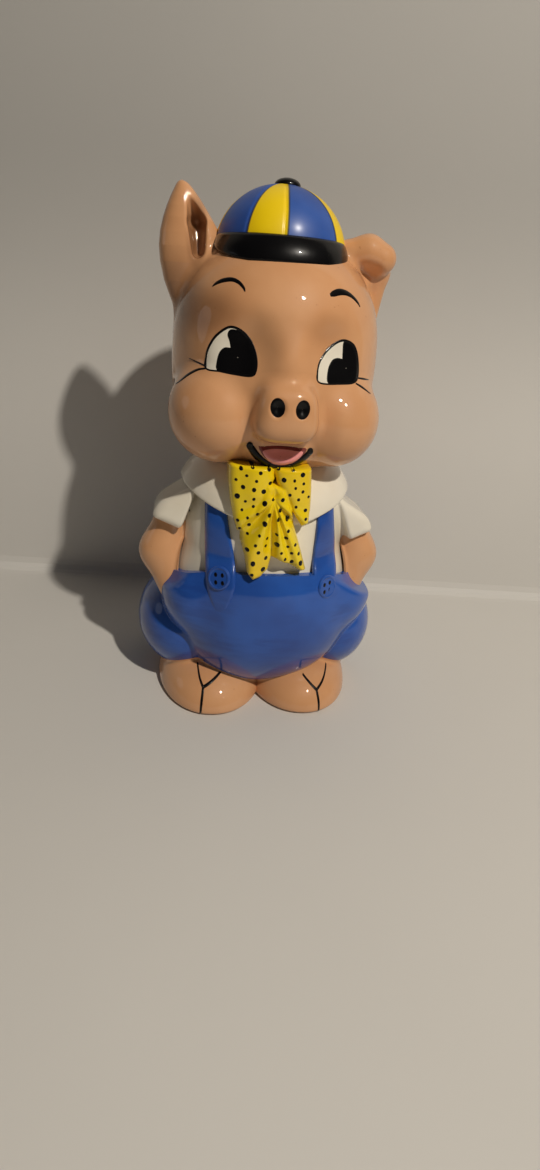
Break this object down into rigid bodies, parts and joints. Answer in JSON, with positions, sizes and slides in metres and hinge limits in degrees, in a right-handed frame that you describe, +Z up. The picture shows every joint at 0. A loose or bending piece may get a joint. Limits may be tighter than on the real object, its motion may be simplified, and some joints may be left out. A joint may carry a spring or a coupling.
{
  "type": "piggy bank",
  "caption": "Hollow ceramic coin bank, a standing pig in overalls, shirt, bow tie and cap, with a coin slot in the back and a rubber stopper in the base.",
  "frame": {"origin": "middle of the object's footprint box, on the surface it stands on", "axes": "+Z up, the pig faces -Y, and its own left hand is on +X"},
  "size_m": [0.1478, 0.13, 0.3005],
  "materials": {
    "skin_glaze": "gloss",
    "blue_glaze": "gloss",
    "white_glaze": "gloss",
    "yellow_glaze": "gloss",
    "cap_glaze": "satin",
    "black_glaze": "gloss",
    "stopper_rubber": "matte"
  },
  "bodies": {
    "bank": {"base_plate": "skin_glaze", "foot_right": "skin_glaze", "foot_left": "skin_glaze", "trouser_leg_right": "blue_glaze", "trouser_leg_left": "blue_glaze", "overalls_front": "blue_glaze", "overalls_back": "blue_glaze", "pocket_right": "blue_glaze", "pocket_left": "blue_glaze", "shirt_front": "white_glaze", "shirt_back": "white_glaze", "arm_right": "skin_glaze", "arm_left": "skin_glaze", "sleeve_right": "white_glaze", "sleeve_left": "white_glaze", "strap_right": "blue_glaze", "strap_left": "blue_glaze", "strap_button_right": "blue_glaze", "strap_button_left": "blue_glaze", "collar": "white_glaze", "bow_tie": "yellow_glaze", "head_front": "skin_glaze", "head_back": "skin_glaze", "snout": "skin_glaze", "ear_right": "skin_glaze", "ear_left": "skin_glaze", "cap_crown": "cap_glaze", "cap_brim": "black_glaze", "cap_button": "black_glaze"},
    "stopper": {"stopper": "stopper_rubber"}
  },
  "joints": [
    {"name": "stopper_pull", "type": "slide", "parent": "bank", "child": "stopper", "axis": [0, 0, -1], "range_m": [0, 0.04]}
  ]
}
